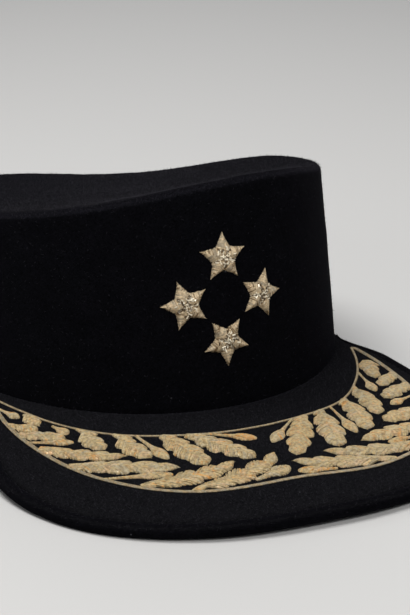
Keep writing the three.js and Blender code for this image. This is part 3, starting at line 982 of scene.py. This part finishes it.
def notched(edge, step):
    """An edge with the hollows between its lobes cut deeper."""
    reach = max(1, round(LOBE_SPAN / step))
    windows = np.lib.stride_tricks.sliding_window_view
    highest = windows(np.pad(edge, reach, "edge"), 2 * reach + 1).max(1)
    closed = windows(np.pad(highest, reach, "edge"), 2 * reach + 1).min(1)
    return edge - NOTCH_DEPTH * np.maximum(softened(closed, LOBE_SOFTNESS, step) - edge, 0)


def way_to_border(spots, way, borders):
    """How far each spot is from the nearest border along a way."""
    nearest = np.full(len(spots), np.inf)
    for path in borders:
        corners = np.array([p.xy for p in path])
        start, along = corners[:-1], np.diff(corners, axis=0)
        gap = start[None] - spots[:, None]
        turn = way[0] * along[:, 1] - way[1] * along[:, 0]
        far = (gap[..., 0] * along[:, 1] - gap[..., 1] * along[:, 0]) / turn
        share = (gap[..., 0] * way[1] - gap[..., 1] * way[0]) / turn
        far = np.where((far > 0) & (share >= 0) & (share <= 1), far, np.inf)
        nearest = np.minimum(nearest, far.min(1))
    return nearest


def tip_share(stations, length):
    """How much of a leaf's width is left towards its tip."""
    return np.minimum((stations[-1] - stations + BLUNT_TIP) / length, 1)


def round_tip(stations, length):
    """How much of a leaf's width is left towards a round tip."""
    return np.sqrt(1 - (1 - tip_share(stations, length)) ** 2)


def solid_outline(node):
    """A leaf's solid from above: its middle, level, way and side, then its stations and its two edges."""
    solid = merged_copy(node)
    cover = BVHTree.FromBMesh(solid)
    corners = np.array([v.co for v in solid.verts])
    solid.free()
    flat = corners[:, :2]
    middle = flat.mean(0)
    way = np.linalg.svd(flat - middle)[2][0]
    side = np.array((-way[1], way[0]))
    places = (flat - middle) @ way
    spread = np.abs((flat - middle) @ side).max() + MM
    top = corners[:, 2].max() + RAY_HEIGHT

    def covered(s, t):
        spot = middle + way * s + side * t
        return cover.ray_cast(Vector((*spot, top)), -UP)[0] is not None

    def edge(s, out, within):
        for _ in range(EDGE_HALVINGS):
            half = (out + within) / 2
            out, within = (out, half) if covered(s, half) else (half, within)
        return within

    found = []
    count = max(FEWEST_STATIONS, round((places.max() - places.min()) / STATION))
    for s in np.linspace(places.min(), places.max(), count + 2)[1:-1]:
        hits = [t for t in np.arange(-spread, spread, EDGE_SEARCH) if covered(s, t)]
        if hits:
            lowest = edge(s, hits[0] - EDGE_SEARCH, hits[0])
            highest = edge(s, hits[-1] + EDGE_SEARCH, hits[-1])
            found.append((s, lowest, highest))
    stations, low, high = np.array(found).T
    ends = [middle + way * stations[i] for i in (0, -1)]
    if abs(ends[0][0] - CAP_SHIFT.x) < abs(ends[1][0] - CAP_SHIFT.x):
        way, side = -way, -side
        stations, low, high = -stations[::-1], -high[::-1], -low[::-1]
    return middle, corners[:, 2].mean(), way, side, stations, low, high


def bud_edges(stations, low, high):
    """A bud's edges, smoothed, and its share of width: a thin stem, then the body with its round tip."""
    step = stations[1] - stations[0]
    stem = BUD_STEM_SHARE * (stations[-1] - stations[0])
    body = eased(np.clip((stations - stations[0]) / stem, 0, 1))
    width = round_tip(stations, BUD_TIP_ROUND) * (BUD_STEM_WIDTH + (1 - BUD_STEM_WIDTH) * body)
    return softened(low, BUD_SOFTNESS, step), softened(high, BUD_SOFTNESS, step), width


def lobed_edges(node, stations, low, high):
    """A leaf's edges with round lobes and deep notches, and its share of width towards its tip."""
    step = stations[1] - stations[0]
    width = round_tip(stations, LEAF_TIP_ROUND)
    if node in POINTED_LEAVES:
        width = np.minimum(width, tip_share(stations, POINTED_TIP) ** POINT_FULLNESS)
    low = -notched(softened(-low, LOBE_SOFTNESS, step), step)
    return low, notched(softened(high, LOBE_SOFTNESS, step), step), width


def leaf_padding(node, felt, borders):
    """The padded form of a leaf or bud, with its solid's outline and a foot on the border it grows from."""
    middle, level, way, side, stations, low, high = solid_outline(node)
    step = stations[1] - stations[0]
    if node in BUDS:
        low, high, width = bud_edges(stations, low, high)
    else:
        low, high, width = lobed_edges(node, stations, low, high)
    size = min(1, (high - low).max() / FULL_WIDTH)
    growth = LEAF_GROWTH[node.split("_")[1]] * size + FULL_BUDS.get(node, 0)
    low, high = low - growth, high + growth
    midrib = softened((low + high) / 2, MIDRIB_SOFTNESS, step)
    foot = middle + way * stations[0] + side * midrib[0]
    stem = way_to_border(foot[None], -way, borders)[0]
    added = math.ceil((stem if stem < LONGEST_STEM else SHORTEST_STEM) / step)
    stations = np.concatenate((stations[0] + step * np.arange(-added, 0), stations))
    low, high, midrib, width = (np.pad(line, (added, 0), "edge") for line in (low, high, midrib, width))
    spots = middle + stations[:, None] * way + midrib[:, None] * side
    rooms = [way_to_border(spots, facing, borders) for facing in (-side, side)]
    halves = [np.maximum(half, THINNEST) * width for half in (midrib - low, high - midrib)]
    if node not in BUDS:
        fill = FOOT_FILL * size * np.clip(1 - (stations - stations[0]) / FOOT_LENGTH, 0, 1)
        halves = [half + fill * (room < NEAR_BORDER) for half, room in zip(halves, rooms)]
    low, high = midrib - np.minimum(halves[0], rooms[0]), midrib + np.minimum(halves[1], rooms[1])
    rise = LEAF_RISE * np.sqrt(np.minimum((high - low) / LEAF_RISE_WIDTH, 1))
    return Padding(felt=felt, origin=Vector((*middle, level)), way=Vector((*way, 0)), side=Vector((*side, 0)),
                   up=UP, stations=stations, low=low, middle=midrib, high=high, rise=rise,
                   brim=np.zeros_like(rise), bulge=LEAF_BULGE)


def leaf_piece(node, felt, borders, tree, material, rng):
    """A leaf or bud of laid purl."""
    form = leaf_padding(node, felt, borders)
    offset = rng.gauss(0, LEAF_TINT_PLAY) + WARM_BUDS.get(node, 0)
    lines = form.threads(form.stations[0], PURL, offset, rng)
    tint = LEAF_PAD_TINT + offset
    stitched_piece(node, node + "_purl", lines, [form], tree, PURL.radius, tint, material, rng)


# Stars

def star_ray(felt, centre, reach, up):
    """One slender ray of a star, hollow-sided and rising to a ridge."""
    stations = np.linspace(0, STAR_REACH, RAY_STATIONS)
    past = np.clip((stations - STAR_NOTCH_REACH) / (STAR_REACH - STAR_NOTCH_REACH), 0, 1)
    half = np.where(stations < STAR_NOTCH_REACH, stations * math.tan(RAY_HALF_TURN),
                    STAR_NOTCH_WIDTH * (1 - past) ** STAR_HOLLOW)
    half = np.maximum(half, STAR_TIP_WIDTH)
    base = np.sqrt(1 - (1 - np.minimum(stations / STAR_BASE, 1)) ** 2)
    rise = STAR_RISE * (1 - STAR_TIP_FALL * past) * (STAR_DIP + (1 - STAR_DIP) * base)
    brim = STAR_RISE * STAR_DIP * np.maximum(1 - stations / STAR_NOTCH_REACH, 0)
    return Padding(felt=felt, origin=centre, way=reach, side=up.cross(reach), up=up, stations=stations,
                   low=-half, middle=np.zeros_like(half), high=half, rise=rise, brim=brim, bulge=STAR_BULGE)


def nearest_ray(s, t):
    """A spot of a star as its place along and across the nearest ray, and its way from that ray's valleys."""
    turns = RAY_TURN * np.arange(STAR_RAYS)
    places = ((s * math.cos(a) + t * math.sin(a), t * math.cos(a) - s * math.sin(a)) for a in turns)
    along, across = max(places)
    return along, across, along * math.sin(RAY_HALF_TURN) - abs(across) * math.cos(RAY_HALF_TURN)


def shade_valleys(piece, ray):
    """Paints shade on the threads in the valleys between the rays of a star, as their darkest tint."""
    tints = piece.data.attributes["tint"].data
    for vertex in piece.data.vertices:
        offset = vertex.co - ray.origin
        along, _, valley = nearest_ray(offset.dot(ray.way), offset.dot(ray.side))
        if valley < VALLEY_SHADE and along < STAR_NOTCH_REACH:
            tints[vertex.index].value = VALLEY_SHADE_TINT


def star_heart(name, ray):
    """A small cap over the middle of a star, marked for cut purl along the valleys between the rays."""
    points, valleys = [ray.spot(0, 0, STAR_RISE * STAR_DIP + CHIP_LIFT)], [0.0]
    for ring in range(1, HEART_RINGS + 1):
        for sector in range(HEART_SECTORS):
            angle = 2 * math.pi * sector / HEART_SECTORS
            s, t = HEART_REACH * ring / HEART_RINGS * np.array((math.cos(angle), math.sin(angle)))
            along, across, valley = nearest_ray(s, t)
            points.append(ray.spot(s, t, float(ray.height(along, across)) + CHIP_LIFT))
            valleys.append(valley)
    pairs = [(i, (i + 1) % HEART_SECTORS) for i in range(HEART_SECTORS)]
    faces = [(0, 1 + i, 1 + after) for i, after in pairs]
    for inner in range(1, (HEART_RINGS - 1) * HEART_SECTORS, HEART_SECTORS):
        outer = inner + HEART_SECTORS
        faces += [(inner + i, outer + i, outer + after, inner + after) for i, after in pairs]
    mesh = bpy.data.meshes.new(name)
    mesh.from_pydata(points, [], faces)
    set_values(mesh, "strewn", [min(max(VALLEY_FILL - v / VALLEY_WIDTH, STRAY_CHIPS), 1) for v in valleys])
    return new_object(name, mesh)


def star_piece(node, felt, laid, chips, satin, silver, rng):
    """A star of five satin rays, with cut purl strewn on its heart."""
    corners = np.array(corners_of(node))
    middle = corners.mean(0)
    ways = np.linalg.svd(corners - middle)[2]
    up = Vector(ways[2]) * (1 if ways[2][1] < 0 else -1)
    centre = Vector(middle)
    tip = Vector(max(corners, key=lambda c: np.linalg.norm(c - middle)))
    first = (tip - centre - up * (tip - centre).dot(up)).normalized()
    rays, lines = [], []
    for i in range(STAR_RAYS):
        ray = star_ray(felt, centre, Matrix.Rotation(RAY_TURN * i, 3, up) @ first, up)
        rays.append(ray)
        lines += ray.threads(SATIN_START, SATIN, 0.0, rng)
    piece = stitched_piece(node, node + "_satin", lines, rays, laid, SATIN.radius, STAR_PAD_TINT, satin, rng)
    shade_valleys(piece, rays[0])
    heart = star_heart(node + "_chips", rays[0])
    use_tree(heart, chips, {"Spacing": CHIP_SPACING, "Radius": CHIP_RADIUS, "Length": CHIP_LENGTH,
                            "Seed": rng.randrange(CHIP_SEEDS), "Material": silver})
    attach(heart, "root")


# Border cords

def cord_path(node, centre):
    """The middle line of a cord's solid, from the rings of its corners in their order round the crown."""
    corners = sorted(corners_of(node), key=lambda c: math.atan2(c.x - centre.x, centre.y - c.y))
    rings = [corners[i:i + CORD_RING] for i in range(0, len(corners), CORD_RING)]
    return [sum(ring, Vector()) / len(ring) for ring in rings]


def drawn_together(first, second):
    """Two cords' middle lines, with their ends drawn to the points where the cords meet."""
    start, end = ((first[i] + second[i]) / 2 for i in (0, -1))
    return [start, *first, end], [start, *second, end]


def cord_piece(node, felt, tree, path, material):
    """A twisted cord sewn down on the felt along a path."""
    cord = CORDS[node]
    core = cord.width / 2 - cord.strand_radius
    lift = UP * (cord.height / 2 - cord.strand_radius / 2)
    seated = [(felt.ray_cast(p + UP * RAY_HEIGHT, -UP)[0] or p) + lift for p in path]
    mesh = bpy.data.meshes.new(node + "_cord")
    mesh.from_pydata(seated, [(i, i + 1) for i in range(len(path) - 1)], [])
    piece = new_object(node + "_cord", mesh)
    use_tree(piece, tree, {"Strands": cord.strands, "Strand radius": cord.strand_radius, "Core radius": core,
                           "Flatness": (cord.height / 2 - cord.strand_radius) / core,
                           "Twist length": cord.twist, "Step": cord.twist / STEPS_PER_TWIST,
                           "Sides": ROUND_SIDES, "Tint": CORD_TINT, "Tint spread": CORD_TINT_SPREAD,
                           "Material": material})
    piece.data.shade_smooth()
    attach(piece, "root")
    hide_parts(node)


# Studio

def pale_floor():
    """A wide pale floor, which is not part of the cap."""
    near, far = -FLOOR_REACH, FLOOR_REACH
    mesh = bpy.data.meshes.new("floor")
    mesh.from_pydata([(near, near, 0), (far, near, 0), (far, far, 0), (near, far, 0)], [], [(0, 1, 2, 3)])
    floor = new_object("floor", mesh)
    mesh.materials.append(new_material("pale_floor", FLOOR_SHADER)[0])


def soft_light(name, place, aim, size, power):
    """A round soft light that looks at a spot."""
    light = bpy.data.lights.new(name, "AREA")
    light.shape = "DISK"
    light.size = size
    light.energy = power
    lamp = new_object(name, light)
    lamp.location = place
    lamp.rotation_euler = (Vector(aim) - Vector(place)).to_track_quat("-Z", "Y").to_euler()


def studio():
    """The floor, the lights and an even sky."""
    pale_floor()
    for name, values in LIGHTS.items():
        soft_light(name, *values)
    world = bpy.data.worlds.new("studio")
    world.use_nodes = True
    sky = world.node_tree.nodes["Background"].inputs
    sky["Color"].default_value = SKY_COLOUR
    sky["Strength"].default_value = SKY_STRENGTH
    bpy.context.scene.world = world
    bpy.context.scene.view_settings.view_transform = "Standard"


def photo_camera():
    """A camera that sees the cap as the photograph does."""
    level = math.cos(VIEW_HEIGHT)
    back = Vector((math.sin(VIEW_TURN) * level, -math.cos(VIEW_TURN) * level, math.sin(VIEW_HEIGHT)))
    right = Vector((math.cos(VIEW_TURN), math.sin(VIEW_TURN), 0))
    up = back.cross(right)
    rolled_right = right * math.cos(VIEW_ROLL) + up * math.sin(VIEW_ROLL)
    rolled_up = up * math.cos(VIEW_ROLL) - right * math.sin(VIEW_ROLL)
    eye = VIEW_TARGET + back * VIEW_DISTANCE
    pose = Matrix((rolled_right, rolled_up, back)).transposed().to_4x4()
    data = bpy.data.cameras.new("photo_view")
    data.lens = LENS
    data.sensor_width = SENSOR
    data.clip_start = NEAREST_SEEN
    camera = new_object("photo_view", data)
    camera.matrix_world = CAP_PLACE @ Matrix.Translation(eye) @ pose
    bpy.context.scene.camera = camera


def build():
    """Dresses the cap: felt and nap first, then the leaves, stars and cords that lie on the felt."""
    rng = random.Random(SEED)
    low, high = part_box("crown")
    centre = (low + high) / 2
    wool = felt_surface_group()
    crown_wool = felt_material("crown_wool", wool, CROWN_HIGHLIGHT_COLOUR)
    peak_wool = felt_material("peak_wool", wool, PEAK_HIGHLIGHT_COLOUR)
    fibre = new_material("wool_fibre", FIBRE_SHADER)[0]
    threads = thread_colour_group()
    purl, satin, gimp, silver = (thread_material(name, threads) for name in THREAD_LOOKS)
    wools = {"crown": crown_wool, "peak": peak_wool, "peak_edge": peak_wool}
    felts = {node: felt_piece(node, material, centre) for node, material in wools.items()}
    nap = felt_nap_tree()
    for seed, (node, felt) in enumerate(felts.items(), 1):
        nap_piece(node, felt, nap, seed, fibre)
    depsgraph = bpy.context.evaluated_depsgraph_get()
    peak_face = BVHTree.FromObject(felts["peak"], depsgraph)
    crown_face = BVHTree.FromObject(felts["crown"], depsgraph)
    borders = drawn_together(*(cord_path(node, centre) for node in CORDS))
    laid = laid_thread_tree()
    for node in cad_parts:
        if node.startswith("leaf_"):
            leaf_piece(node, peak_face, borders, laid, purl, rng)
    chips = cut_purl_tree()
    for place in ("top", "left", "right", "bottom"):
        star_piece(f"star_{place}", crown_face, laid, chips, satin, silver, rng)
    twisted = twisted_cord_tree()
    for node, path in zip(CORDS, borders):
        cord_piece(node, peak_face, twisted, path, gimp)


build()
studio()
photo_camera()
